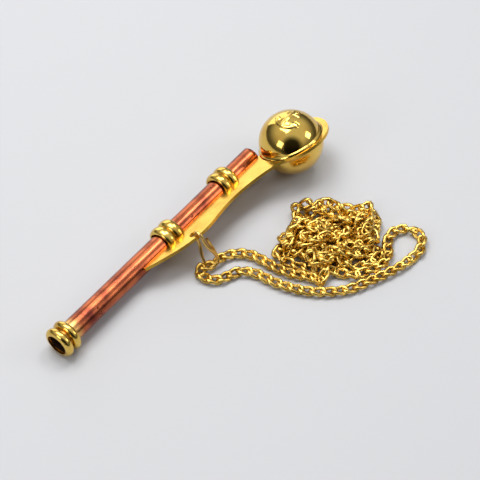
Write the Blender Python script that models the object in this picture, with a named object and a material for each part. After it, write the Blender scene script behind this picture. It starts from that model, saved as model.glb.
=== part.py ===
"""Boatswain pipe with its ring and neck chain, lying on its side on a table. Metres, +Z up."""
import bpy
import numpy as np
from mathutils import Vector

for old in list(bpy.data.objects):
    bpy.data.objects.remove(old, do_unlink=True)

MM = 0.001
GAP = 0.3  # working gap between neighbouring pieces, mm

# Gun tube: one length of drawn copper tube, open at both ends.
TUBE_R = 3.7
TUBE_WALL = 0.7
TUBE_BORE_R = TUBE_R - TUBE_WALL
TUBE_START = 0.2
TUBE_END = 100.9
TUBE_EDGE = 0.15  # broken edges at the tube's ends

# Collars: pairs of half-round brass rings.
RING_BORE_R = TUBE_R + GAP
RING_RISE = 1.5  # from a ring's inside to its outside
RING_OUT_R = RING_BORE_R + RING_RISE
PAIR_GAP = 0.4  # between the two rings of the fore and aft pairs
MOUTH_HALF_W = 1.4
MOUTH_RINGS = (0.95, 4.5)
FORE_RINGS = (53.0, 56.9)
AFT_RINGS = (83.1, 86.7)

# Buoy: two thin hemispheres on the two faces of the flange, with one sound hole across both.
BALL_R = 11.4
BALL_WALL = 0.7
BALL_BRIM = 0.7  # how far the brim stands out from the ball
BRIM_T = 0.6
BRIM_FILLET = 0.35
JET_GAP = 0.347  # between the tube's upper edge and the brim
JET_AIM = 0.1  # the tube's axis passes the ball's near side at this distance
BALL_K = BALL_R + JET_AIM
BALL_S = TUBE_END + np.sqrt((BALL_R + BALL_BRIM + JET_GAP) ** 2 - (BALL_K - TUBE_R) ** 2)
SOUND_R = 4.2
SOUND_LEAN = 0.3  # turn of the sound hole towards the mouth, radians
SOUND_DEPTH = 6.3  # the tool's start, from the ball's centre, clear of the far wall

# Keel: one flat brass plate beside the tube, wide at the ring hole, with a round flange at the ball.
KEEL_T = 1.1
KEEL_START = 38.5
KEEL_INNER = TUBE_R + GAP
TIP_W = 0.9  # the keel's thin start beside the tube
KEEL_TIP = KEEL_INNER + TIP_W
KEEL_CREST_S = 60.5
KEEL_CREST = 13.6
KEEL_WAIST_S = 77.0
KEEL_WAIST = 11.6
FLANGE_RIM = 1.4  # how far the flange stands out round the ball
FLANGE_R = BALL_R + FLANGE_RIM
FLANGE_OFF = (1.25, 0.64)
FLANGE_LEDGE = 1.8  # the flange is open inside this ledge, so that the two halves share their air
FLANGE_BORE_R = BALL_R - FLANGE_LEDGE
FLANGE_JOIN = 5.76  # height over the ball's centre at which the keel's crest runs into the flange
HOLE_S = 57.6
HOLE_R = 1.5
STRIP_W = 1.2  # brass left between the ring hole and the crest of the keel

# Ring: a split ring of round brass wire, about one and a half turns, oval.
WIRE_D = 1.15
TURN_GAP = 0.4  # between the wire's turns
RING_TURN_PITCH = WIRE_D + TURN_GAP
RING_HALF = 1.8
RING_DROP = 0.2  # the ring's weight pulls it down on the strip
RING_TURNS = (-0.04, 1.36)  # from the low end over the strip, down through the hole, and up to a free end
RING_SPREAD = 1.3  # the oval's widest half width over its half width at the hole
RING_TWIST = np.radians(58)  # turn of the oval's low end about its own length

# Chain: the free cord on the table, drawn as tubes.
CHAIN_D = 2.8
LOOP_GAP = 0.75  # between the heap's loops and between its layers
CHAIN_PITCH = CHAIN_D + LOOP_GAP
HEAP_TURNS = 6.194  # in two layers, ending at the right, where the cord turns back to the ring
HEAP_A = 24.0
HEAP_B = 15.2
HEAP_CENTRE = (92.1, -44.3)
HEAP_DIR = (0.756, -0.654)
HEAP_START_DEG = 100.0
LIFT_TURNS = 0.5  # the cord climbs to the upper layer over this much of a turn
POINTS_A_LOOP = 24
LEAD = 1.5  # steps of the heap that a strand runs on straight
FRONT_POINTS = 44
UPPER_POINTS = 20
REST_GAP = 0.1  # between what lies on the table and the table

# The pipe lies on its mouth ring, its aft collar and its ball: the tilt of the keel follows.
SIN_TILT = (BALL_R - RING_OUT_R) / BALL_K
TILT = float(np.arcsin(SIN_TILT))
AXIS_Z = RING_OUT_R

BRASS = (0.80, 0.55, 0.17, 1.0)
COPPER = (0.72, 0.33, 0.19, 1.0)


def material(name, colour, rough):
    """A plain metal: colour and roughness."""
    mat = bpy.data.materials.new(name)
    mat.use_nodes = True
    node = mat.node_tree.nodes["Principled BSDF"]
    node.inputs["Base Color"].default_value = colour
    node.inputs["Roughness"].default_value = rough
    node.inputs["Metallic"].default_value = 1.0
    return mat


def empty(name, parent, loc):
    """A frame for pieces that share a place."""
    obj = bpy.data.objects.new(name, None)
    bpy.context.collection.objects.link(obj)
    obj.parent = parent
    obj.location = [v * MM for v in loc]
    return obj


def solid(name, verts, faces, mat, parent):
    """One closed body from vertices in millimetres."""
    mesh = bpy.data.meshes.new(name)
    mesh.from_pydata((np.asarray(verts) * MM).tolist(), [], [list(map(int, f)) for f in faces])
    mesh.update()
    obj = bpy.data.objects.new(name, mesh)
    bpy.context.collection.objects.link(obj)
    obj.parent = parent
    mesh.materials.append(mat)
    mesh.shade_smooth()
    mesh.set_sharp_from_angle(angle=np.radians(35))
    return obj


def revolve_x(profile, s0, segments):
    """Turn a closed profile of (s, r) points about the tube's axis."""
    prof = np.asarray(profile, float)
    count = len(prof)
    turn = np.linspace(0, 2 * np.pi, segments, endpoint=False)
    xs = np.tile(prof[:, 0] + s0, (segments, 1))
    ys = np.cos(turn)[:, None] * prof[:, 1]
    zs = np.sin(turn)[:, None] * prof[:, 1]
    verts = np.stack([xs, ys, zs], 2).reshape(-1, 3)
    faces = []
    for i in range(segments):
        j = (i + 1) % segments
        for a in range(count):
            b = (a + 1) % count
            faces.append((i * count + a, j * count + a, j * count + b, i * count + b))
    return verts, faces


def cut(obj, tool):
    """Take the tool's volume out of the piece."""
    tool.hide_render = True
    tool.display_type = "WIRE"
    mod = obj.modifiers.new("cut_" + tool.name, "BOOLEAN")
    mod.operation = "DIFFERENCE"
    mod.solver = "EXACT"
    mod.object = tool


def extrude(outline, low, high):
    """A flat plate: a closed outline of (x, y), between two heights; the outline runs anticlockwise."""
    pts = np.asarray(outline, float)
    count = len(pts)
    bottom = np.column_stack([pts, np.full(count, low)])
    top = np.column_stack([pts, np.full(count, high)])
    faces = [tuple(range(count))[::-1], tuple(range(count, 2 * count))]
    for i in range(count):
        j = (i + 1) % count
        faces.append((i, j, count + j, count + i))
    return np.vstack([bottom, top]), faces


def circle(cx, cy, r, count):
    """Points of a circle, anticlockwise."""
    turn = np.linspace(0, 2 * np.pi, count, endpoint=False)
    return np.column_stack([cx + r * np.cos(turn), cy + r * np.sin(turn)])


# Frames: the table, and on it the pipe rolled over by the tilt so that the crest of the keel stands up.
table = empty("table_frame", None, (0, 0, 0))
pipe = empty("pipe_frame", table, (0, 0, AXIS_Z))
pipe.rotation_euler = (-TILT, 0, 0)

# Gun tube
edge = TUBE_EDGE
tube_profile = [
    (TUBE_START + edge, TUBE_BORE_R), (TUBE_START, TUBE_BORE_R + edge), (TUBE_START, TUBE_R - edge),
    (TUBE_START + edge, TUBE_R), (TUBE_END - edge, TUBE_R), (TUBE_END, TUBE_R - edge),
    (TUBE_END, TUBE_BORE_R + edge), (TUBE_END - edge, TUBE_BORE_R)]
verts, faces = revolve_x(tube_profile, 0.0, 48)
solid("gun_tube", verts, faces, material("copper_tube", COPPER, 0.3), pipe)

# Collar rings: flat inside, round outside
bow = np.linspace(0, np.pi, 11)


def ring_profile(half_w):
    """Half-round section of a ring: flat on the tube's side, round outside."""
    rise = (RING_OUT_R - RING_BORE_R) * np.sin(bow) ** 0.7
    return np.column_stack([-half_w * np.cos(bow), RING_BORE_R + rise])


brass_ring = material("brass_rings", BRASS, 0.22)
slot_half = KEEL_T / 2 + GAP
ring_sets = (("mouth", MOUTH_RINGS, False), ("fore", FORE_RINGS, True), ("aft", AFT_RINGS, True))
for place, stations, straddles in ring_sets:
    half_w = (stations[1] - stations[0] - PAIR_GAP) / 2 if straddles else MOUTH_HALF_W
    for side, station in zip(("front", "rear"), stations):
        verts, faces = revolve_x(ring_profile(half_w), station, 44)
        ring = solid(place + "_ring_" + side, verts, faces, brass_ring, pipe)
        if straddles:
            slot = [(station - 2 * half_w, -2 * RING_OUT_R), (station + 2 * half_w, -2 * RING_OUT_R),
                    (station + 2 * half_w, -RING_BORE_R / 2), (station - 2 * half_w, -RING_BORE_R / 2)]
            verts, faces = extrude(slot, -slot_half, slot_half)
            tool = solid("slot_" + place + "_" + side, verts, faces, brass_ring, pipe)
            cut(ring, tool)

# Keel plate; the keel's depth is measured from the tube's axis and lies along -Y of the pipe frame
flange_s = BALL_S + FLANGE_OFF[0]
flange_k = BALL_K + FLANGE_OFF[1]
join_k = BALL_K + FLANGE_JOIN
join_s = flange_s - np.sqrt(FLANGE_R ** 2 - (join_k - flange_k) ** 2)
rise = np.linspace(0, 1, 16)
fall = np.linspace(0, 1, 12)[1:]
climb = np.linspace(0, 1, 14)[1:-1]
crest = [(KEEL_START + (KEEL_CREST_S - KEEL_START) * t,
          KEEL_TIP + (KEEL_CREST - KEEL_TIP) * np.sin(t * np.pi / 2)) for t in rise]
waist = [(KEEL_CREST_S + (KEEL_WAIST_S - KEEL_CREST_S) * t,
          KEEL_CREST + (KEEL_WAIST - KEEL_CREST) * t * t * (3 - 2 * t)) for t in fall]
sweep = [(KEEL_WAIST_S + (join_s - KEEL_WAIST_S) * t,
          KEEL_WAIST + (join_k - KEEL_WAIST) * t * t) for t in climb]
start_turn = np.arctan2(join_k - flange_k, join_s - flange_s)
inner_s = flange_s - np.sqrt(FLANGE_R ** 2 - (KEEL_INNER - flange_k) ** 2)
end_turn = np.arctan2(KEEL_INNER - flange_k, inner_s - flange_s)
if end_turn > start_turn:
    end_turn -= 2 * np.pi
round_turn = np.linspace(start_turn, end_turn, 64)
rim = [(flange_s + FLANGE_R * np.cos(t), flange_k + FLANGE_R * np.sin(t)) for t in round_turn]
outline = [(s, -k) for s, k in crest + waist + sweep + rim] + [(KEEL_START, -KEEL_INNER)]
verts, faces = extrude(outline, -KEEL_T / 2, KEEL_T / 2)
keel = solid("keel_plate", verts, faces, material("brass_keel", BRASS, 0.2), pipe)
hole_k = KEEL_CREST - STRIP_W - HOLE_R
verts, faces = extrude(circle(HOLE_S, -hole_k, HOLE_R, 24), -2 * KEEL_T, 2 * KEEL_T)
cut(keel, solid("hole_tool", verts, faces, brass_ring, pipe))
verts, faces = extrude(circle(BALL_S, -BALL_K, FLANGE_BORE_R, 64), -2 * KEEL_T, 2 * KEEL_T)
cut(keel, solid("flange_bore_tool", verts, faces, brass_ring, pipe))

# Sound hole tool: a rod through the side of the ball that faces away from the keel
ball = empty("ball_frame", pipe, (BALL_S, -BALL_K, 0))
sound_frame = empty("sound_frame", ball, (0, 0, 0))
sound_frame.rotation_euler = (0, 0, SOUND_LEAN)
rod = circle(0, 0, SOUND_R, 40)
rod_low = SOUND_DEPTH
rod_high = SOUND_DEPTH + BALL_R
low_ring = np.column_stack([rod[:, 1], np.full(len(rod), rod_low), rod[:, 0]])
high_ring = np.column_stack([rod[:, 1], np.full(len(rod), rod_high), rod[:, 0]])
count = len(rod)
rod_faces = [tuple(range(count))[::-1], tuple(range(count, 2 * count))]
for i in range(count):
    j = (i + 1) % count
    rod_faces.append((i, j, count + j, count + i))
sound_tool = solid("sound_tool", np.vstack([low_ring, high_ring]), rod_faces, brass_ring, sound_frame)
cut(keel, sound_tool)


def shell(name, sign, mat):
    """Half of the ball: a thin hemisphere with a small brim where it meets the flange."""
    rows = 12
    foot = KEEL_T / 2 + GAP
    brim_top = foot + BRIM_T
    inner_r = BALL_R - BALL_WALL
    out_low = np.arcsin((brim_top + BRIM_FILLET) / BALL_R)
    in_low = np.arcsin(foot / inner_r)
    outer = [(BALL_R * np.cos(t), BALL_R * np.sin(t)) for t in np.linspace(np.pi / 2, out_low, rows)]
    base = [(BALL_R + BALL_BRIM, brim_top), (BALL_R + BALL_BRIM, foot)]
    inner = [(inner_r * np.cos(t), inner_r * np.sin(t)) for t in np.linspace(in_low, np.pi / 2, rows - 2)]
    prof = np.array(outer[1:] + base + inner[:-1])
    segments = 48
    turn = np.linspace(0, 2 * np.pi, segments, endpoint=False)
    pts = np.stack([np.cos(turn)[:, None] * prof[:, 0], np.sin(turn)[:, None] * prof[:, 0],
                    np.tile(prof[:, 1] * sign, (segments, 1))], 2).reshape(-1, 3)
    per = len(prof)
    pole_out = len(pts)
    pts = np.vstack([pts, [0, 0, BALL_R * sign], [0, 0, inner_r * sign]])
    quads = []
    for a in range(segments):
        b = (a + 1) % segments
        quads.append((pole_out, a * per, b * per))
        for c in range(per - 1):
            quads.append((a * per + c, a * per + c + 1, b * per + c + 1, b * per + c))
        quads.append((a * per + per - 1, pole_out + 1, b * per + per - 1))
    if sign < 0:
        quads = [q[::-1] for q in quads]
    obj = solid(name, pts, quads, mat, ball)
    cut(obj, sound_tool)
    return obj


shell("buoy_upper_shell", 1, material("brass_dome", BRASS, 0.12))
shell("buoy_lower_shell", -1, material("brass_bowl", BRASS, 0.15))

# Split ring: hangs in the hole, round the strip at the crest, its low end on the table
hinge_k = KEEL_CREST - STRIP_W / 2
hinge = empty("ring_hinge", pipe, (HOLE_S, -hinge_k, 0))
hinge_z = AXIS_Z + hinge_k * np.sin(TILT)
turn_drop = RING_TURN_PITCH * abs(np.sin(RING_TWIST)) * SIN_TILT
ring_reach = (hinge_z - RING_HALF - WIRE_D / 2 - turn_drop - REST_GAP) / np.cos(TILT) - RING_DROP


def oval(turn):
    """Point of the ring's oval at a turn of 0 to 1 from its low end: two straights and two half circles."""
    length = 2 * ring_reach + 2 * np.pi * RING_HALF
    d = (turn % 1.0) * length
    quarter = np.pi * RING_HALF / 2
    if d < quarter:
        a = d / RING_HALF
        return RING_HALF * np.sin(a), -ring_reach - RING_HALF * np.cos(a)
    if d < quarter + ring_reach:
        return RING_HALF, -ring_reach + (d - quarter)
    if d < 3 * quarter + ring_reach:
        a = (d - quarter - ring_reach) / RING_HALF
        return RING_HALF * np.cos(a), RING_HALF * np.sin(a)
    if d < 3 * quarter + 2 * ring_reach:
        return -RING_HALF, -(d - 3 * quarter - ring_reach)
    a = (d - 3 * quarter - 2 * ring_reach) / RING_HALF
    return -RING_HALF * np.cos(a), -ring_reach - RING_HALF * np.sin(a)


def cord(name, points, dia, resolution, mat, parent):
    """A round cord through the points, with closed ends."""
    data = bpy.data.curves.new(name, "CURVE")
    data.dimensions = "3D"
    data.bevel_depth = dia / 2 * MM
    data.bevel_resolution = resolution
    data.use_fill_caps = True
    line = data.splines.new("POLY")
    line.points.add(len(points) - 1)
    for point, place in zip(line.points, np.asarray(points) * MM):
        point.co = (place[0], place[1], place[2], 1.0)
    obj = bpy.data.objects.new(name, data)
    bpy.context.collection.objects.link(obj)
    obj.parent = parent
    data.materials.append(mat)
    return obj


ring_path = []
for t in np.linspace(*RING_TURNS, 57):
    across, along = oval(t)
    down = np.clip((-along - RING_HALF) / (ring_reach - RING_HALF), 0, 1)
    down = down * down * (3 - 2 * down)
    across = across * (1 + (RING_SPREAD - 1) * down)
    aside = RING_TURN_PITCH * (t - 0.5)
    swing = RING_TWIST * down
    ring_path.append((aside * np.cos(swing) + across * np.sin(swing),
                      aside * np.sin(swing) - across * np.cos(swing), along - RING_DROP))
cord("split_ring", ring_path, WIRE_D, 2, material("brass_wire", BRASS, 0.25), hinge)

# Chain on the table: front strand, heap, upper strand, one cord cut into three pieces
brass_chain = material("brass_chain", BRASS, 0.3)
low_z = CHAIN_D / 2 + REST_GAP
u_dir = np.array(HEAP_DIR) / np.hypot(*HEAP_DIR)
v_dir = np.array([u_dir[1], -u_dir[0]])
steps = int(HEAP_TURNS * POINTS_A_LOOP)
heap_path = []
for i in range(steps + 1):
    turn = HEAP_TURNS * i / steps
    inward = min(turn, HEAP_TURNS - turn)
    lift = np.clip((turn - HEAP_TURNS / 2) / LIFT_TURNS + 0.5, 0, 1)
    lift = lift * lift * (3 - 2 * lift)
    a = np.radians(HEAP_START_DEG) - 2 * np.pi * turn
    flat = np.array(HEAP_CENTRE) + u_dir * (HEAP_A - CHAIN_PITCH * inward) * np.cos(a)
    flat = flat + v_dir * (HEAP_B - CHAIN_PITCH * inward) * np.sin(a)
    heap_path.append((flat[0], flat[1], low_z + CHAIN_PITCH * lift))
heap_path = np.array(heap_path)
cord("chain_heap", heap_path, CHAIN_D, 1, brass_chain, table)


def smooth(route, count):
    """Evenly spaced points on a smooth curve through the route points (Catmull-Rom)."""
    pts = np.asarray(route, float)
    pts = np.vstack([2 * pts[0] - pts[1], pts, 2 * pts[-1] - pts[-2]])
    fine = []
    for i in range(1, len(pts) - 2):
        t = np.linspace(0, 1, 40, endpoint=False)[:, None]
        p0, p1, p2, p3 = pts[i - 1:i + 3]
        fine.append(0.5 * (2 * p1 + (p2 - p0) * t + (2 * p0 - 5 * p1 + 4 * p2 - p3) * t ** 2
                           + (3 * p1 - p0 - 3 * p2 + p3) * t ** 3))
    fine = np.vstack(fine + [pts[-2:-1]])
    run = np.concatenate([[0], np.cumsum(np.linalg.norm(np.diff(fine, axis=0), axis=1))])
    want = np.linspace(0, run[-1], count)
    return np.column_stack([np.interp(want, run, fine[:, c]) for c in range(3)])


def face_gap(tip, behind):
    """A point one gap short of the tip of another cord."""
    out = np.asarray(tip) - np.asarray(behind)
    return np.asarray(tip) + out / np.linalg.norm(out) * GAP


front_end = face_gap(heap_path[-1], heap_path[-2])
front_lead = front_end + (heap_path[-1] - heap_path[-2]) * LEAD
front_flat = [(52.3, -14.6), (51.6, -18.6), (53.2, -22.2), (57.4, -24.2), (61.6, -26.4), (63.8, -31.5),
              (64.8, -39.4), (68.6, -49.2), (76.4, -58.4), (85.5, -63.0), (92.5, -66.0),
              (99.5, -68.0), (105.5, -68.6)]
front_route = [(x, y, low_z) for x, y in front_flat] + [(109.6, -66.4, low_z + 1.2), front_lead, front_end]
cord("chain_front_strand", smooth(front_route, FRONT_POINTS), CHAIN_D, 2, brass_chain, table)
upper_end = face_gap(heap_path[0], heap_path[1])
upper_lead = upper_end + (heap_path[0] - heap_path[1]) * LEAD
upper_flat = [(62.4, -17.6), (66.8, -21.0), (69.2, -26.0), (69.6, -34.0), (71.4, -41.6)]
upper_route = [(x, y, low_z) for x, y in upper_flat] + [upper_lead, upper_end]
cord("chain_upper_strand", smooth(upper_route, UPPER_POINTS), CHAIN_D, 2, brass_chain, table)

# Least gap of the heap to itself, measured on its points
reach = np.linalg.norm(heap_path[:, None] - heap_path[None], axis=2)
apart = np.abs(np.subtract.outer(np.arange(len(heap_path)), np.arange(len(heap_path))))
reach[apart < POINTS_A_LOOP // 2] = np.inf
print("heap least gap mm", round(float(reach.min()) - CHAIN_D, 3))
both = smooth(front_route, 200), smooth(upper_route, 200)
between = np.linalg.norm(both[0][:, None] - both[1][None], axis=2)
print("strand gap mm", round(float(between.min()) - CHAIN_D, 3))

# Put the origin under the middle of the pipe and its ring
bpy.context.view_layer.update()
corners = []
for obj in bpy.data.objects:
    if obj.type in {"MESH", "CURVE"} and not obj.hide_render and not obj.name.startswith("chain"):
        shape = obj.evaluated_get(bpy.context.evaluated_depsgraph_get()).to_mesh()
        for v in shape.vertices:
            corners.append(obj.matrix_world @ v.co)
corners = np.array(corners)
low = corners.min(0)
high = corners.max(0)
table.location = Vector((-(low[0] + high[0]) / 2, -(low[1] + high[1]) / 2, -low[2]))
bpy.context.view_layer.update()
print("origin shift mm", [round(v / MM, 3) for v in table.location])
print("pipe box mm", np.round((high - low) / MM, 2))
print("hinge at m", [round(v, 6) for v in hinge.matrix_world.translation])
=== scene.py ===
import bpy
import numpy as np
from mathutils import Matrix, Vector


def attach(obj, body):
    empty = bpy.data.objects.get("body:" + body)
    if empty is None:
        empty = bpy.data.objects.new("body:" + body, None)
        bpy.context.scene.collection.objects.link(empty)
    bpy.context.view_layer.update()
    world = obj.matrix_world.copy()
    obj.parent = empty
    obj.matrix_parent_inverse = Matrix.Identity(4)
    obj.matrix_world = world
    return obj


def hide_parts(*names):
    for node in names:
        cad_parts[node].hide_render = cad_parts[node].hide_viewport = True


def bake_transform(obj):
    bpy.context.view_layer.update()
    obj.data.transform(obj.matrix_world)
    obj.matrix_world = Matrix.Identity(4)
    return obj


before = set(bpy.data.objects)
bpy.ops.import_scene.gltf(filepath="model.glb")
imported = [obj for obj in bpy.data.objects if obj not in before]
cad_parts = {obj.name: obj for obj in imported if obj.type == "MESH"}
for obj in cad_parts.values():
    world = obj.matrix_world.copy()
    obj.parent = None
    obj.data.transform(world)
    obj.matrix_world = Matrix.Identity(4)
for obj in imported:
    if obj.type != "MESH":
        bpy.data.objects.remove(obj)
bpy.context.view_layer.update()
scene = bpy.context.scene
scene.view_settings.view_transform = "Standard"

# Camera: stands where the photograph was taken from, looking down steeply through a long lens. Its turn was
# fitted to outline points of the pipe; its distance of about half a metre is an assumption.
MM = 0.001
ELEVATION = np.radians(51.886)
HEADING = np.radians(51.726)
CAMERA_ROLL = np.radians(-0.294)
CAMERA_AT = np.array([-236.41, -203.64, 400.51])
FOCAL_PIXELS = 1493.5
PHOTO_PIXELS = 480.0
SENSOR_MM = 36.0
CLIP_NEAR = 0.01
right = np.array([np.cos(HEADING), -np.sin(HEADING), 0.0])
ahead = np.array([np.sin(HEADING), np.cos(HEADING), 0.0])
look = ahead * np.cos(ELEVATION) - np.array([0, 0, np.sin(ELEVATION)])
upward = ahead * np.sin(ELEVATION) + np.array([0, 0, np.cos(ELEVATION)])
camera_x = right * np.cos(CAMERA_ROLL) + upward * np.sin(CAMERA_ROLL)
camera_y = upward * np.cos(CAMERA_ROLL) - right * np.sin(CAMERA_ROLL)
camera_data = bpy.data.cameras.new("photo_camera")
camera_data.lens = SENSOR_MM * FOCAL_PIXELS / PHOTO_PIXELS
camera_data.sensor_width = SENSOR_MM
camera_data.clip_start = CLIP_NEAR
camera = bpy.data.objects.new("photo_camera", camera_data)
scene.collection.objects.link(camera)
camera_turn = Matrix((camera_x, camera_y, -look)).transposed()
camera.matrix_world = Matrix.Translation(Vector(CAMERA_AT * MM)) @ camera_turn.to_4x4()
scene.camera = camera

# Neck chain: brass curb links, bent from round wire, twisted and closed. Both ends hang in the split ring,
# and the rest lies on the table as a front strand, a loose heap and an upper strand. The strands keep to the
# CAD's route, and the heap is dropped as a line of beads that push each other apart. Lengths are in mm.
LINK_L = 6.4
LINK_W = 4.1
LINK_WIRE = 1.35
PITCH = LINK_L - 2 * LINK_WIRE
LINK_BENDS = 10
LINK_SIDES = 5
LINK_TWIST = np.radians(42)
LINK_SQUARENESS = 0.75
HEAP_ROLL = 0.55
STRAND_ROLL_SHARE = 0.2
TABLE_GAP = 0.02
CHAIN_D = 2.8
REST_GAP = 0.1
FLAT = CHAIN_D / 2 + REST_GAP
SHIFT = np.array([-62.099, 8.096, -0.003])
RING_LOW = np.array([57.6, -17.6, 1.6])

# The route of the two strands: front from the ring outwards, upper from the ring to the heap
FRONT_START = [(-0.6, 0.2, 0.6), (-2.6, 2.2, 0.3)]
FRONT_FLAT = [(52.3, -14.6), (51.6, -18.6), (53.2, -22.2), (57.4, -24.2), (61.6, -26.4), (63.8, -31.5),
              (64.8, -39.4), (68.6, -49.2), (76.4, -58.4), (85.5, -63.0), (92.5, -66.0),
              (99.5, -68.0), (105.5, -68.6)]
END_LIFT = 1.2
FRONT_END = (109.6, -66.4, FLAT + END_LIFT)
UPPER_FLAT = [(62.4, -17.6), (66.8, -21.0), (69.2, -26.0), (69.6, -34.0), (71.4, -41.6)]
UPPER_HEAP = (78.0, -52.0, FLAT)
UPPER_END = (1.2, 0.2, 0.4)

# The heap: its outline, the spots that its first turns pass on the table, and those of its two bumps
HEAP_OUTLINE = np.array([(73.5, -29.0), (73.0, -34.0), (75.5, -43.0), (81.5, -54.0), (89.0, -60.2),
                         (96.0, -62.0), (101.0, -57.5), (105.0, -54.0), (109.0, -48.0), (110.5, -44.5),
                         (107.0, -42.0), (100.5, -39.5), (97.5, -31.0), (97.5, -25.0), (94.0, -23.5),
                         (87.0, -31.0), (80.0, -31.0)])
FRONT_SPOTS = [(111.4, -62.8), (109.8, -58.8), (105.8, -56.6), (101.0, -58.0), (95.6, -61.8), (88.6, -60.0),
               (81.6, -53.6), (76.8, -44.0), (73.8, -35.6), (74.2, -30.0), (78.4, -31.6), (79.0, -37.6),
               (81.6, -45.0), (87.0, -53.0), (91.0, -50.0), (84.6, -40.0), (84.4, -34.6)]
BUMP_SPOTS = [(103.0, -52.0), (110.4, -45.0), (106.4, -42.6), (98.6, -34.0), (97.6, -26.4), (94.6, -23.6),
              (89.6, -29.6), (77.0, -31.4)]
HEAP_SEED = 7
HEAP_POINTS = 53
SHORTEST_HOP = 9.0
LONGEST_HOP = 19.0
HEAP_LOW = 3.0
HEAP_HIGH = 13.0
BUMP_LOW = 2.4
BUMP_HIGH = 4.6
RUN_DOWN = 6

# The drop: beads at even steps along the line, and how they move in each round
STEP = 2.1333
BEAD_R = 1.482
DROP_ROUNDS = 260
FALL = 0.06
SPACING_PASSES = 2
SPACING_SHARE = 0.9
PUSH_SHARE = 0.35
LONGEST_PUSH = 0.6
FLOOR_SHARE = 1.02
LINKED_BEADS = 3
LOOSE_BEADS = 4
CURVE_PER_BEAD = 4
TINY = 1e-9

# All the metals: how dark a pit is against the tarnish, the range of the roughness, and the grain in the bump
PIT_SHADE = (0.3, 0.25, 0.25)
SMOOTHEST = 0.7
ROUGHEST = 1.5
GRAIN_SHARE = 0.35


def even(points, step):
    """The same line with points at even steps along it: places on its running length, read off in between."""
    p = np.asarray(points, float)
    run = np.concatenate([[0], np.cumsum(np.linalg.norm(np.diff(p, axis=0), axis=1))])
    want = np.linspace(0, run[-1], int(round(run[-1] / step)) + 1)
    return np.column_stack([np.interp(want, run, p[:, i]) for i in range(3)])


def through(route, per=24):
    """A smooth line through the route points: a cubic between each two, with slopes from the points beside
    them (Catmull-Rom), read at per places each. The line runs on straight beyond its ends."""
    p = np.asarray(route, float)
    p = np.vstack([2 * p[0] - p[1], p, 2 * p[-1] - p[-2]])
    t = np.linspace(0, 1, per, endpoint=False)[:, None]
    out = []
    for a, b, c, d in zip(p[:-3], p[1:-2], p[2:-1], p[3:]):
        square = (2 * a - 5 * b + 4 * c - d) * t ** 2
        cube = (3 * b - a - 3 * c + d) * t ** 3
        out.append(0.5 * (2 * b + (c - a) * t + square + cube))
    return np.vstack(out + [p[-2:-1]])


def settle(beads, radius, fixed, rounds):
    """Drop a line of beads on the table. In each round they fall a little, the spacing along the line is
    restored, beads that overlap push each other apart, none goes below the table and fixed ones go back."""
    p = beads.copy()
    rest = np.linalg.norm(np.diff(p, axis=0), axis=1)
    order = np.arange(len(p))
    linked = np.abs(np.subtract.outer(order, order)) < LINKED_BEADS
    home = p[fixed].copy()
    for _ in range(rounds):
        p[:, 2] -= FALL
        for _ in range(SPACING_PASSES):
            d = np.diff(p, axis=0)
            length = np.linalg.norm(d, axis=1)
            move = d * (0.5 * (length - rest) / length)[:, None] * SPACING_SHARE
            p[:-1] += move
            p[1:] -= move
        gap = p[:, None] - p[None]
        dist = np.linalg.norm(gap, axis=2) + TINY
        overlap = np.clip(2 * radius - dist, 0, None)
        overlap[linked] = 0
        push = gap / dist[..., None] * (PUSH_SHARE * overlap)[..., None]
        p += np.clip(push.sum(1), -LONGEST_PUSH, LONGEST_PUSH)
        p[:, 2] = np.maximum(p[:, 2], radius * FLOOR_SHARE)
        p[fixed] = home
    return p


def inside(spot, outline):
    """Whether a spot lies in an outline: the turns from it to the outline's points add up to a whole turn."""
    arm = outline - spot
    bearing = np.arctan2(arm[:, 1], arm[:, 0])
    step = np.roll(bearing, -1) - bearing
    return abs(np.angle(np.exp(1j * step)).sum()) > np.pi


def grid_faces(rows, cols, wrap_rows, wrap_cols):
    """Quads of a grid of rows by cols points, each from a point to its neighbours, closed where asked."""
    r = np.arange(rows if wrap_rows else rows - 1)
    c = np.arange(cols if wrap_cols else cols - 1)
    r, c = np.meshgrid(r, c, indexing="ij")
    r2 = (r + 1) % rows
    c2 = (c + 1) % cols
    return np.stack([r * cols + c, r * cols + c2, r2 * cols + c2, r2 * cols + c], -1).reshape(-1, 4)


def piece(name, verts_mm, faces, mat, body, crease=50.0):
    """A finished piece: vertices in mm in the row frame, faces, its material and the body it moves with.
    Edges that turn by more than crease degrees are shaded sharp."""
    mesh = bpy.data.meshes.new(name)
    mesh.from_pydata((np.asarray(verts_mm) * MM).tolist(), [], [list(f) for f in faces])
    mesh.update()
    obj = bpy.data.objects.new(name, mesh)
    scene.collection.objects.link(obj)
    mesh.materials.append(mat)
    mesh.shade_smooth()
    mesh.set_sharp_from_angle(angle=np.radians(crease))
    if body:
        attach(obj, body)
    return obj


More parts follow.
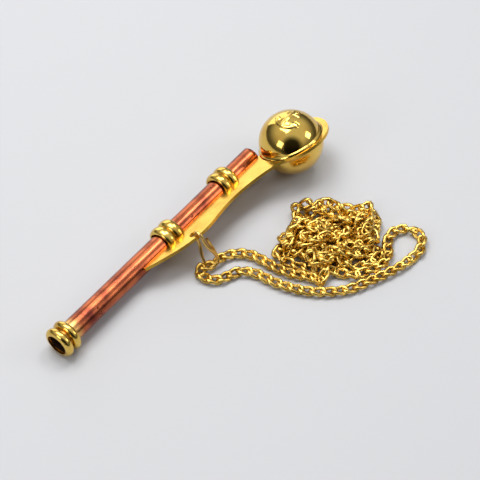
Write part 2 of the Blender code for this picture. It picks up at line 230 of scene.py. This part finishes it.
def metal(name, colour, dark, rough, grain, pits, stretch=(1, 1, 1), wash=None):
    """Polished metal: colour drifts to a tarnish in clouds, small dark pits lie in some of them, roughness
    varies with a fine grain, and grain and pits make the bump. stretch draws the grain out along an axis.
    wash is an optional (x from, x to, colour) along the row frame's X, such as brass left from soldering."""
    mat = bpy.data.materials.new(name)
    mat.use_nodes = True
    nodes = mat.node_tree.nodes
    link = mat.node_tree.links.new
    shader = nodes["Principled BSDF"]
    shader.inputs["Metallic"].default_value = 1.0
    place = nodes.new("ShaderNodeTexCoord")
    scale = nodes.new("ShaderNodeMapping")
    scale.inputs["Scale"].default_value = stretch
    link(place.outputs["Object"], scale.inputs["Vector"])
    # Clouds of tarnish
    cloud = nodes.new("ShaderNodeTexNoise")
    cloud.inputs["Scale"].default_value = 130.0
    cloud.inputs["Detail"].default_value = 6.0
    link(place.outputs["Object"], cloud.inputs["Vector"])
    tint = nodes.new("ShaderNodeValToRGB")
    tint.color_ramp.elements[0].position = 0.30
    tint.color_ramp.elements[0].color = dark
    tint.color_ramp.elements[1].position = 0.56
    tint.color_ramp.elements[1].color = colour
    link(cloud.outputs["Fac"], tint.inputs["Fac"])
    base = tint.outputs["Color"]
    # Pits: cells with a dark middle, kept only where a second noise is high
    spots = nodes.new("ShaderNodeTexVoronoi")
    spots.inputs["Scale"].default_value = 420.0
    link(place.outputs["Object"], spots.inputs["Vector"])
    spot = nodes.new("ShaderNodeMapRange")
    spot.inputs["From Min"].default_value = 0.02
    spot.inputs["From Max"].default_value = pits
    link(spots.outputs["Distance"], spot.inputs["Value"])
    few = nodes.new("ShaderNodeTexNoise")
    few.inputs["Scale"].default_value = 210.0
    link(place.outputs["Object"], few.inputs["Vector"])
    rare = nodes.new("ShaderNodeMapRange")
    rare.inputs["From Min"].default_value = 0.52
    rare.inputs["From Max"].default_value = 0.60
    rare.inputs["To Min"].default_value = 1.0
    rare.inputs["To Max"].default_value = 0.0
    link(few.outputs["Fac"], rare.inputs["Value"])
    clean = nodes.new("ShaderNodeMath")
    clean.operation = "MAXIMUM"
    link(spot.outputs["Result"], clean.inputs[0])
    link(rare.outputs["Result"], clean.inputs[1])
    pitted = nodes.new("ShaderNodeMix")
    pitted.data_type = "RGBA"
    pitted.inputs["A"].default_value = [part * shade for part, shade in zip(dark, PIT_SHADE)] + [1]
    link(clean.outputs["Value"], pitted.inputs["Factor"])
    link(base, pitted.inputs["B"])
    base = pitted.outputs["Result"]
    # The wash fades out along X
    if wash:
        split = nodes.new("ShaderNodeSeparateXYZ")
        link(place.outputs["Object"], split.inputs["Vector"])
        edge = nodes.new("ShaderNodeMapRange")
        edge.interpolation_type = "SMOOTHSTEP"
        edge.inputs["From Min"].default_value = wash[0]
        edge.inputs["From Max"].default_value = wash[1]
        edge.inputs["To Min"].default_value = 0.85
        edge.inputs["To Max"].default_value = 0.0
        link(split.outputs["X"], edge.inputs["Value"])
        washed = nodes.new("ShaderNodeMix")
        washed.data_type = "RGBA"
        washed.inputs["B"].default_value = wash[2]
        link(edge.outputs["Result"], washed.inputs["Factor"])
        link(base, washed.inputs["A"])
        base = washed.outputs["Result"]
    link(base, shader.inputs["Base Color"])
    # Fine grain, in the roughness and, with the pits, in the bump
    fine = nodes.new("ShaderNodeTexNoise")
    fine.inputs["Scale"].default_value = 900.0
    fine.inputs["Detail"].default_value = 4.0
    link(scale.outputs["Vector"], fine.inputs["Vector"])
    gloss = nodes.new("ShaderNodeMapRange")
    gloss.inputs["To Min"].default_value = rough * SMOOTHEST
    gloss.inputs["To Max"].default_value = rough * ROUGHEST
    link(fine.outputs["Fac"], gloss.inputs["Value"])
    link(gloss.outputs["Result"], shader.inputs["Roughness"])
    height = nodes.new("ShaderNodeMath")
    height.operation = "MULTIPLY_ADD"
    height.inputs[1].default_value = GRAIN_SHARE
    link(fine.outputs["Fac"], height.inputs[0])
    link(clean.outputs["Value"], height.inputs[2])
    bump = nodes.new("ShaderNodeBump")
    bump.inputs["Strength"].default_value = grain
    bump.inputs["Distance"].default_value = 0.0002
    link(height.outputs["Value"], bump.inputs["Height"])
    link(bump.outputs["Normal"], shader.inputs["Normal"])
    return mat


# The heap's points: fixed spots first, then random ones in the outline, with the bumps half way
rng = np.random.default_rng(HEAP_SEED)
heap = [np.array(spot) for spot in FRONT_SPOTS]
while len(heap) < HEAP_POINTS:
    spot = rng.uniform(HEAP_OUTLINE.min(0), HEAP_OUTLINE.max(0))
    hop = np.linalg.norm(spot - heap[-1])
    if inside(spot, HEAP_OUTLINE) and SHORTEST_HOP < hop < LONGEST_HOP:
        heap.append(spot)
    if len(heap) == HEAP_POINTS // 2:
        heap.extend(np.array(BUMP_SPOTS))
slack = np.column_stack([heap, np.linspace(HEAP_LOW, HEAP_HIGH, len(heap))])
bumps = slice(HEAP_POINTS // 2, HEAP_POINTS // 2 + len(BUMP_SPOTS))
slack[bumps, 2] = np.linspace(BUMP_LOW, BUMP_HIGH, len(BUMP_SPOTS))
slack[:len(FRONT_SPOTS), 2] = FLAT
slack[-RUN_DOWN:, 2] = np.linspace(slack[-RUN_DOWN, 2], HEAP_LOW, RUN_DOWN)

# The whole line of beads from ring to ring, dropped with its strands and its fixed spots held
front_route = [RING_LOW + np.array(start) for start in FRONT_START]
front_route += [(x, y, FLAT) for x, y in FRONT_FLAT]
front_route.append(FRONT_END)
upper_route = [UPPER_HEAP]
upper_route += [(x, y, FLAT) for x, y in UPPER_FLAT[::-1]]
upper_route.append(RING_LOW + np.array(UPPER_END))
front = even(through(front_route), STEP)
upper = even(through(upper_route), STEP)
between = even(through(np.vstack([front[-1:], slack, upper[:1]])), STEP)[1:-1]
line = np.vstack([front, between, upper])
held_spots = np.vstack([slack[:len(FRONT_SPOTS)], slack[bumps]])
held = [int(np.linalg.norm(line - spot, axis=1).argmin()) for spot in held_spots]
front_held = np.arange(len(front) - LOOSE_BEADS)
upper_held = np.arange(len(line) - len(upper) + LOOSE_BEADS, len(line))
line = settle(line, BEAD_R, np.r_[front_held, held, upper_held], DROP_ROUNDS)
line[:, :2] += SHIFT[:2]
chain_path = even(through(line, CURVE_PER_BEAD), PITCH)

# Each link's own directions: along the line, to the side, and over, rolled a little about the line
middle = 0.5 * (chain_path[:-1] + chain_path[1:])
along = np.diff(chain_path, axis=0)
along /= np.linalg.norm(along, axis=1)[:, None]
roll = rng.normal(0, HEAP_ROLL, len(middle))
roll[:len(front) // 2] *= STRAND_ROLL_SHARE
roll[-len(upper) // 2:] *= STRAND_ROLL_SHARE
level = np.cross(np.array([0, 0, 1.0]), along)
level /= np.linalg.norm(level, axis=1)[:, None] + TINY
above = np.cross(along, level)
side = level * np.cos(roll)[:, None] + above * np.sin(roll)[:, None]
over = above * np.cos(roll)[:, None] - level * np.sin(roll)[:, None]

# One link: a rounded oblong of wire, twisted from end to end, with its wire's rings square to it
spin = np.linspace(0, 2 * np.pi, LINK_BENDS, endpoint=False)
half_l = (LINK_L - LINK_WIRE) / 2
half_w = (LINK_W - LINK_WIRE) / 2
link_x = half_l * np.sign(np.cos(spin)) * np.abs(np.cos(spin)) ** LINK_SQUARENESS
link_y = half_w * np.sign(np.sin(spin)) * np.abs(np.sin(spin)) ** LINK_SQUARENESS
twist = LINK_TWIST * link_x / half_l
bend = np.column_stack([link_x, link_y * np.cos(twist), link_y * np.sin(twist)])
run_dir = np.roll(bend, -1, 0) - np.roll(bend, 1, 0)
run_dir /= np.linalg.norm(run_dir, axis=1)[:, None]
out_dir = bend - (bend * run_dir).sum(1)[:, None] * run_dir
out_dir /= np.linalg.norm(out_dir, axis=1)[:, None]
up_dir = np.cross(run_dir, out_dir)
lap = np.linspace(0, 2 * np.pi, LINK_SIDES, endpoint=False)
wire_ring = np.cos(lap)[None, :, None] * out_dir[:, None] + np.sin(lap)[None, :, None] * up_dir[:, None]
one = (bend[:, None] + LINK_WIRE / 2 * wire_ring).reshape(-1, 3)
every = (middle[:, None] + one[None, :, :1] * along[:, None] + one[None, :, 1:2] * side[:, None]
         + one[None, :, 2:] * over[:, None])
every[..., 2] = np.maximum(every[..., 2], TABLE_GAP)
link_faces = grid_faces(LINK_BENDS, LINK_SIDES, True, True)
all_faces = (link_faces[None] + (np.arange(len(middle)) * len(one))[:, None, None]).reshape(-1, 4)
brass_chain = metal("brass_chain_links", (0.88, 0.60, 0.14, 1), (0.56, 0.33, 0.06, 1),
                    rough=0.24, grain=0.25, pits=0.10)
chain = piece("neck_chain", every.reshape(-1, 3), all_faces, brass_chain, None, crease=180.0)
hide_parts("chain_front_strand", "chain_heap", "chain_upper_strand")
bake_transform(chain)

# Gun tube: drawn copper tube, open at both ends, slid into the collars and soldered, with brass from the
# soldering left at its mouth. The pipe lies on its mouth ring, aft collar and ball, so its keel tilts.
TUBE_R = 3.7
BORE_R = 3.0
TUBE_START = 0.2
TUBE_END = 100.9
TUBE_EDGE = 0.15
TUBE_UNEVEN = 0.03
TUBE_WAVE = 0.21
TUBE_SLOW_WAVE = 0.057
TUBE_WAVE_SHIFT = 1
TUBE_ROWS = 80
TUBE_SEGMENTS = 96
MOUTH_FUNNEL = 2.0
MOUTH_WALL = 0.2
COPPER = (0.50, 0.13, 0.05, 1)
COPPER_DARK = (0.17, 0.036, 0.024, 1)
MOUTH_WASH = (-0.0565, -0.0525, (0.80, 0.50, 0.16, 1))
RING_OUT = 5.5
BALL_R = 11.4
BALL_K = 11.5
TILT = np.arcsin((BALL_R - RING_OUT) / BALL_K)
AXIS_Z = RING_OUT
WHOLE_TURN = 2 * np.pi - 1e-6


def lay(points):
    """Pipe coordinates in mm (along the tube, away from the keel, square to the keel) to the row frame in mm:
    turned about the tube's axis by the tilt, lifted to the axis's height, and shifted."""
    p = np.asarray(points, float)
    y = p[..., 1] * np.cos(TILT) + p[..., 2] * np.sin(TILT)
    z = AXIS_Z - p[..., 1] * np.sin(TILT) + p[..., 2] * np.cos(TILT)
    return np.stack([p[..., 0], y, z], -1) + SHIFT


def turned(profile, segments, start=0.0, sweep=2 * np.pi):
    """Turn a profile of (along, radius) points about the tube's axis: a closed ring, or part of one with
    flat ends."""
    prof = np.asarray(profile, float)
    whole = sweep > WHOLE_TURN
    a = start + np.linspace(0, sweep, segments, endpoint=not whole)
    pts = np.stack([np.tile(prof[:, 0], (segments, 1)), np.cos(a)[:, None] * prof[:, 1],
                    np.sin(a)[:, None] * prof[:, 1]], 2)
    faces = grid_faces(segments, len(prof), whole, True)[:, ::-1].tolist()
    if not whole:
        n = len(prof)
        faces.append(list(range(n))[::-1])
        faces.append(list(range((segments - 1) * n, segments * n)))
    return pts.reshape(-1, 3), faces


def tube_profile():
    """Outside from mouth to far end, uneven by two slow waves multiplied, then back along the bore."""
    s = np.linspace(TUBE_START + TUBE_EDGE, TUBE_END - TUBE_EDGE, TUBE_ROWS)
    waves = np.sin(s * TUBE_WAVE) * np.sin(s * TUBE_SLOW_WAVE + TUBE_WAVE_SHIFT)
    outer = np.column_stack([s, TUBE_R - TUBE_UNEVEN + TUBE_UNEVEN * waves])
    far = [(TUBE_END, TUBE_R - TUBE_EDGE), (TUBE_END, BORE_R + TUBE_EDGE), (TUBE_END - TUBE_EDGE, BORE_R)]
    near = [(TUBE_START + MOUTH_FUNNEL, BORE_R), (TUBE_START, TUBE_R - MOUTH_WALL),
            (TUBE_START, TUBE_R - TUBE_EDGE)]
    return np.vstack([outer, far, near])


copper = metal("copper_gun", COPPER, COPPER_DARK, rough=0.23, grain=0.5, pits=0.22, stretch=(0.12, 1, 1),
               wash=MOUTH_WASH)
verts, faces = turned(tube_profile(), TUBE_SEGMENTS)
gun = piece("gun_copper_tube", lay(verts), faces, copper, "pipe")
# Painted shade: the faces of the bore and of the mouth's funnel get a near-black copper. It stands in for the
# shade inside the open tube.
bore = metal("copper_bore_painted_shade", (0.10, 0.05, 0.035, 1), (0.04, 0.025, 0.02, 1),
             rough=0.5, grain=0.5, pits=0.2)
gun.data.materials.append(bore)
around = len(tube_profile())
bore_rows = (around - 4, around - 3)
in_bore = [int(i % around in bore_rows) for i in range(len(faces))]
gun.data.polygons.foreach_set("material_index", in_bore)
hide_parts("gun_tube")

# Collars: three pairs of brass rings, half round outside, at the mouth, beside the ring hole and near the
# ball. The fore and aft pairs are slit, straddle the keel and are soldered to it. A row has the pair's place,
# its two middles along the tube, half a ring's width, and whether it straddles.
COLLARS = [("mouth", (0.95, 4.5), 1.5, False),
           ("fore", (53.0, 56.9), 1.9, True),
           ("aft", (83.1, 86.7), 1.75, True)]
SOLDER_GAP = 0.06
RING_BORE = TUBE_R + SOLDER_GAP
STRADDLE_ROOM = 0.45
KEEL_T = 1.1
SLIT_GAP = 0.02
SLIT_R = 4.7
SLIT_SEGMENTS = 110
COLLAR_SEGMENTS = 120
BOW_POINTS = 25
BOW_FULLNESS = 0.8
BRASS = (0.80, 0.54, 0.12, 1)
BRASS_DARK = (0.55, 0.31, 0.05, 1)
brass_rings = metal("brass_ring_stock", BRASS, BRASS_DARK, rough=0.17, grain=0.25, pits=0.12)
bow = np.linspace(0, np.pi, BOW_POINTS)
for place, stations, half, straddles in COLLARS:
    for which, station in zip(("front", "rear"), stations):
        bore_r = RING_BORE + (STRADDLE_ROOM if straddles else 0.0)
        height = (RING_OUT - bore_r) * np.sin(bow) ** BOW_FULLNESS
        prof = np.column_stack([station - half * np.cos(bow), bore_r + height])
        prof[[0, -1], 1] = bore_r
        if straddles:
            slit = np.arcsin((KEEL_T / 2 + SLIT_GAP) / SLIT_R)
            verts, faces = turned(prof, SLIT_SEGMENTS, np.pi + slit, 2 * np.pi - 2 * slit)
        else:
            verts, faces = turned(prof, COLLAR_SEGMENTS)
        collar = piece(place + "_collar_" + which, lay(verts), faces, brass_rings, "pipe")
        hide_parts(place + "_ring_" + which)

# Keel: one flat brass plate with the ring hole and the flange of the ball, held in the collars' slits and
# between the half balls, and soldered there. The plate itself is the CAD one.
brass_keel = metal("brass_keel_plate", (0.90, 0.56, 0.09, 1), (0.70, 0.39, 0.05, 1),
                   rough=0.2, grain=0.18, pits=0.08, stretch=(0.2, 1, 1))
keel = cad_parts["keel_plate"]
keel.data.materials.clear()
keel.data.materials.append(brass_keel)

# Buoy: two spun brass hemispheres with a small brim, soldered on both faces of the flange; one sound hole is
# filed across both, where the jet from the gun strikes. The upper one carries a raised anchor.
BALL = np.array([110.6, -BALL_K, 0.0])
WALL = 0.7
FOOT_GAP = 0.12
FOOT = KEEL_T / 2 + FOOT_GAP
HOLE_R = 4.2
HOLE_HALF = np.arcsin(HOLE_R / BALL_R)
HOLE_ASIDE = 0.3
HOLE_TURN = np.pi / 2 + HOLE_ASIDE
ALMOST_SQUARE = 1.5
BALL_TURNS = 192
BALL_ROWS = 90
POLE_GAP = 0.002
BRIM_OUT = 0.7
BRIM_TALL = 0.75
BRIM_BOW = 0.35
ANCHOR_SIZE = 1.25
ANCHOR_RELIEF = 0.25
ANCHOR_X = 0.3
ANCHOR_Y = -4.2

# The anchor's own sizes: from, to and half thickness of its straight parts; middle, radius and half thickness
# of its round ones
SHANK = ((0, -3.1), (0, 2.6), 0.36)
STOCK = ((-1.7, 2.0), (1.7, 2.0), 0.3)
SHACKLE = ((0, 3.3), 0.75, 0.24)
CROWN = ((0, -0.4), 2.9, 0.36)
CROWN_TOP = -0.5
FLUKE_TIP = (2.9, -1.2)
FLUKE_ROOT = (2.2, -1.5)
FLUKE_HALF = 0.55
ANCHOR_EDGE = 0.3
FAR_OFF = 9.0


def segment(p, a, b):
    """Distance of points p from the straight line between a and b."""
    a = np.asarray(a, float)
    b = np.asarray(b, float)
    h = np.clip(((p - a) @ (b - a)) / ((b - a) @ (b - a)), 0, 1)
    return np.linalg.norm(p - a - h[..., None] * (b - a), axis=-1)


def anchor_height(p):
    """Height of a plain anchor, 1 on top and 0 beside it: the least distance to its shank, stock, shackle,
    crown and two flukes, less their half thickness, turned into a slope at the edge."""
    d = segment(p, SHANK[0], SHANK[1]) - SHANK[2]
    d = np.minimum(d, segment(p, STOCK[0], STOCK[1]) - STOCK[2])
    d = np.minimum(d, np.abs(np.linalg.norm(p - SHACKLE[0], axis=-1) - SHACKLE[1]) - SHACKLE[2])
    crown = p - CROWN[0]
    arc = np.abs(np.linalg.norm(crown, axis=-1) - CROWN[1]) - CROWN[2]
    d = np.minimum(d, np.where(crown[..., 1] < CROWN_TOP, arc, FAR_OFF))
    for hand in (-1, 1):
        tip = (hand * FLUKE_TIP[0], FLUKE_TIP[1])
        root = (hand * FLUKE_ROOT[0], FLUKE_ROOT[1])
        d = np.minimum(d, segment(p, tip, root) - FLUKE_HALF)
    return np.clip(0.5 - d / ANCHOR_EDGE, 0, 1)


def shell(sign, relief):
    """Half ball on a grid of turns and rows from the pole down: radius plus brim plus relief outside, then
    back up the inside. Its lower edge lies on the flange, and round the sound hole it rises in an arch."""
    a = np.linspace(0, 2 * np.pi, BALL_TURNS, endpoint=False)
    off = np.angle(np.exp(1j * (a - HOLE_TURN)))
    beside = np.cos(np.clip(off, -ALMOST_SQUARE, ALMOST_SQUARE))
    arch = np.arccos(np.clip(np.cos(HOLE_HALF) / beside, -1, 1))
    foot = np.arcsin(FOOT / BALL_R)
    low = np.where(np.abs(off) < HOLE_HALF, np.maximum(arch, foot), foot)
    top = np.pi / 2 - POLE_GAP
    lat = top - (top - low[:, None]) * np.linspace(0, 1, BALL_ROWS)
    tall = BALL_R * np.sin(lat)
    brim = BRIM_OUT * np.clip(1 - (tall - FOOT) / BRIM_TALL, 0, 1) ** BRIM_BOW
    r = BALL_R + brim
    x = np.cos(lat) * np.cos(a)[:, None]
    y = np.cos(lat) * np.sin(a)[:, None]
    if relief:
        across = x * BALL_R - ANCHOR_X
        upright = y * BALL_R - ANCHOR_Y
        r = r + ANCHOR_RELIEF * anchor_height(np.stack([-upright, across], -1) / ANCHOR_SIZE)
    outer = np.stack([x * r, y * r, sign * np.where(brim > 0, tall, r * np.sin(lat))], -1)
    inner = np.stack([x, y, sign * np.sin(lat)], -1)[:, ::-1] * (BALL_R - WALL)
    inner[..., 2] = sign * np.maximum(np.abs(inner[..., 2]), FOOT)
    pts = np.concatenate([outer, inner], 1)
    both = 2 * BALL_ROWS
    faces = grid_faces(BALL_TURNS, both, True, False)
    faces = faces if sign < 0 else faces[:, ::-1]
    cap = [int(v) for v in np.arange(BALL_TURNS) * both]
    cap_in = [v + both - 1 for v in cap]
    faces = faces.tolist() + [cap if sign > 0 else cap[::-1], cap_in[::-1] if sign > 0 else cap_in]
    return pts.reshape(-1, 3) + BALL, faces


brass_dome = metal("brass_dome_polish", BRASS, (0.72, 0.43, 0.08, 1), rough=0.10, grain=0.12, pits=0.06)
brass_bowl = metal("brass_bowl_polish", BRASS, (0.70, 0.41, 0.08, 1), rough=0.18, grain=0.2, pits=0.08)
verts, faces = shell(1, True)
dome = piece("buoy_dome", lay(verts), faces, brass_dome, "pipe")
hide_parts("buoy_upper_shell")
verts, faces = shell(-1, False)
bowl = piece("buoy_bowl", lay(verts), faces, brass_bowl, "pipe")
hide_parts("buoy_lower_shell")

# Split ring: brass wire wound about one and a half times into an oval. It hangs in the keel's hole, round the
# strip at the crest, with its low end on the table, and it swings there.
HOLE_S = 57.6
KEEL_CREST = 13.6
STRIP_W = 1.2
HINGE_K = KEEL_CREST - STRIP_W / 2
WIRE_D = 1.15
TURN_GAP = 0.4
TURN_PITCH = WIRE_D + TURN_GAP
RING_HALF = 1.8
RING_DROP = 0.2
RING_SPREAD = 1.3
RING_TWIST = np.radians(58)
RING_FROM = -0.04
RING_TO = 1.36
RING_POINTS = 180
WIRE_SIDES = 14
NOT_ALONG = np.array([1.0, 0.05, 0.1])
TURN_DROP = TURN_PITCH * abs(np.sin(RING_TWIST)) * np.sin(TILT)
HINGE_Z = AXIS_Z + HINGE_K * np.sin(TILT)
REACH = (HINGE_Z - RING_HALF - WIRE_D / 2 - TURN_DROP - REST_GAP) / np.cos(TILT) - RING_DROP


def oval(turns):
    """Centre line of the oval at turns from its low end: two straights joined by half circles, with a pitch
    along the axis. Below the hole the oval widens and twists about its own length, both by a smooth step."""
    total = 2 * REACH + 2 * np.pi * RING_HALF
    d = (turns % 1.0) * total
    q = np.pi * RING_HALF / 2
    a1 = d / RING_HALF
    a2 = (d - q - REACH) / RING_HALF
    a3 = (d - 3 * q - 2 * REACH) / RING_HALF
    pick = [d < q, d < q + REACH, d < 3 * q + REACH, d < 3 * q + 2 * REACH]
    across = np.select(pick, [RING_HALF * np.sin(a1), RING_HALF, RING_HALF * np.cos(a2), -RING_HALF],
                       -RING_HALF * np.cos(a3))
    height = np.select(pick, [-REACH - RING_HALF * np.cos(a1), -REACH + d - q, RING_HALF * np.sin(a2),
                              -(d - 3 * q - REACH)], -REACH - RING_HALF * np.sin(a3))
    down = np.clip((-height - RING_HALF) / (REACH - RING_HALF), 0, 1)
    down = down * down * (3 - 2 * down)
    across = across * (1 + (RING_SPREAD - 1) * down)
    aside = TURN_PITCH * (turns - 0.5)
    swing = RING_TWIST * down
    return np.stack([HOLE_S + aside * np.cos(swing) + across * np.sin(swing),
                     -HINGE_K + aside * np.sin(swing) - across * np.cos(swing), height - RING_DROP], -1)


def wire(path, radius, sides):
    """A round wire along a path: rings of points square to it, with closed ends."""
    d = np.gradient(path, axis=0)
    d /= np.linalg.norm(d, axis=1)[:, None]
    u = np.cross(d, NOT_ALONG)
    u /= np.linalg.norm(u, axis=1)[:, None]
    v = np.cross(d, u)
    a = np.linspace(0, 2 * np.pi, sides, endpoint=False)
    lap = np.cos(a)[None, :, None] * u[:, None] + np.sin(a)[None, :, None] * v[:, None]
    pts = path[:, None] + radius * lap
    faces = grid_faces(len(path), sides, False, True).tolist()
    last = (len(path) - 1) * sides
    return pts.reshape(-1, 3), faces + [list(range(sides))[::-1], list(range(last, last + sides))]


brass_wire = metal("brass_ring_wire", (0.84, 0.56, 0.17, 1), BRASS_DARK, rough=0.2, grain=0.2, pits=0.1)
verts, faces = wire(oval(np.linspace(RING_FROM, RING_TO, RING_POINTS)), WIRE_D / 2, WIRE_SIDES)
ring = piece("oval_split_ring", lay(verts), faces, brass_wire, "ring")
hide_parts("split_ring")

# Floor: a plain pale sheet that the pipe and its chain lie on, matt and of one colour. It is only staging.
FLOOR_HALF = 2
FLOOR_GREY = (0.54, 0.54, 0.55, 1)
FLOOR_ROUGH = 0.6
floor_corners = [(-FLOOR_HALF, -FLOOR_HALF, 0), (FLOOR_HALF, -FLOOR_HALF, 0),
                 (FLOOR_HALF, FLOOR_HALF, 0), (-FLOOR_HALF, FLOOR_HALF, 0)]
floor_mesh = bpy.data.meshes.new("floor")
floor_mesh.from_pydata(floor_corners, [], [(0, 1, 2, 3)])
floor = bpy.data.objects.new("floor", floor_mesh)
scene.collection.objects.link(floor)
pale = bpy.data.materials.new("pale_floor")
pale.use_nodes = True
pale.node_tree.nodes["Principled BSDF"].inputs["Base Color"].default_value = FLOOR_GREY
pale.node_tree.nodes["Principled BSDF"].inputs["Roughness"].default_value = FLOOR_ROUGH
floor_mesh.materials.append(pale)

# Light: five square soft boxes, a large one overhead, a small one beside it for a brighter streak on the
# metal, and one each at the back, the left and the right. A row has the name, place, target, size and power.
SOFT_BOXES = [("overhead_box", (0.05, 0.25, 0.75), (0, 0, 0), 0.45, 3.8),
              ("streak_box", (0.39, 0.04, 0.70), (0, 0, 0), 0.2, 1.3),
              ("back_box", (0.35, 0.63, 0.14), (0.0, 0.0, 0.01), 0.5, 1.35),
              ("left_box", (-0.6, 0.1, 0.35), (0, 0, 0), 0.25, 0.7),
              ("right_box", (0.45, -0.55, 0.45), (0.02, -0.03, 0), 0.25, 0.8)]
for name, box_at, target, size, power in SOFT_BOXES:
    box_data = bpy.data.lights.new(name, "AREA")
    box_data.size = size
    box_data.energy = power
    box = bpy.data.objects.new(name, box_data)
    scene.collection.objects.link(box)
    box.location = box_at
    box.rotation_euler = (Vector(target) - Vector(box_at)).to_track_quat("-Z", "Y").to_euler()

# Room: a studio that is dim near the floor and brighter towards its ceiling. A dark wall in front of the
# pipe, as in a dim room, gives the polished metal its dark patches.
ROOM_COLOUR = (0.95, 0.97, 1.0, 1)
DARK_WALL_WAY = (-0.680, -0.537, 0.500)
world = bpy.data.worlds.new("studio")
world.use_nodes = True
room = world.node_tree.nodes
join = world.node_tree.links.new
direction = room.new("ShaderNodeTexCoord")
parts = room.new("ShaderNodeSeparateXYZ")
rise = room.new("ShaderNodeMapRange")
rise.interpolation_type = "SMOOTHSTEP"
rise.inputs["From Min"].default_value = 0.12
rise.inputs["From Max"].default_value = 0.75
rise.inputs["To Min"].default_value = 0.10
rise.inputs["To Max"].default_value = 0.7
join(direction.outputs["Generated"], parts.inputs["Vector"])
join(parts.outputs["Z"], rise.inputs["Value"])
front_wall = room.new("ShaderNodeVectorMath")
front_wall.operation = "DOT_PRODUCT"
front_wall.inputs[1].default_value = DARK_WALL_WAY
join(direction.outputs["Generated"], front_wall.inputs[0])
dim = room.new("ShaderNodeMapRange")
dim.interpolation_type = "SMOOTHSTEP"
dim.inputs["From Min"].default_value = 0.70
dim.inputs["From Max"].default_value = 0.93
dim.inputs["To Min"].default_value = 1.0
dim.inputs["To Max"].default_value = 0.03
join(front_wall.outputs["Value"], dim.inputs["Value"])
room_light = room.new("ShaderNodeMath")
room_light.operation = "MULTIPLY"
join(rise.outputs["Result"], room_light.inputs[0])
join(dim.outputs["Result"], room_light.inputs[1])
join(room_light.outputs["Value"], room["Background"].inputs["Strength"])
room["Background"].inputs["Color"].default_value = ROOM_COLOUR
scene.world = world
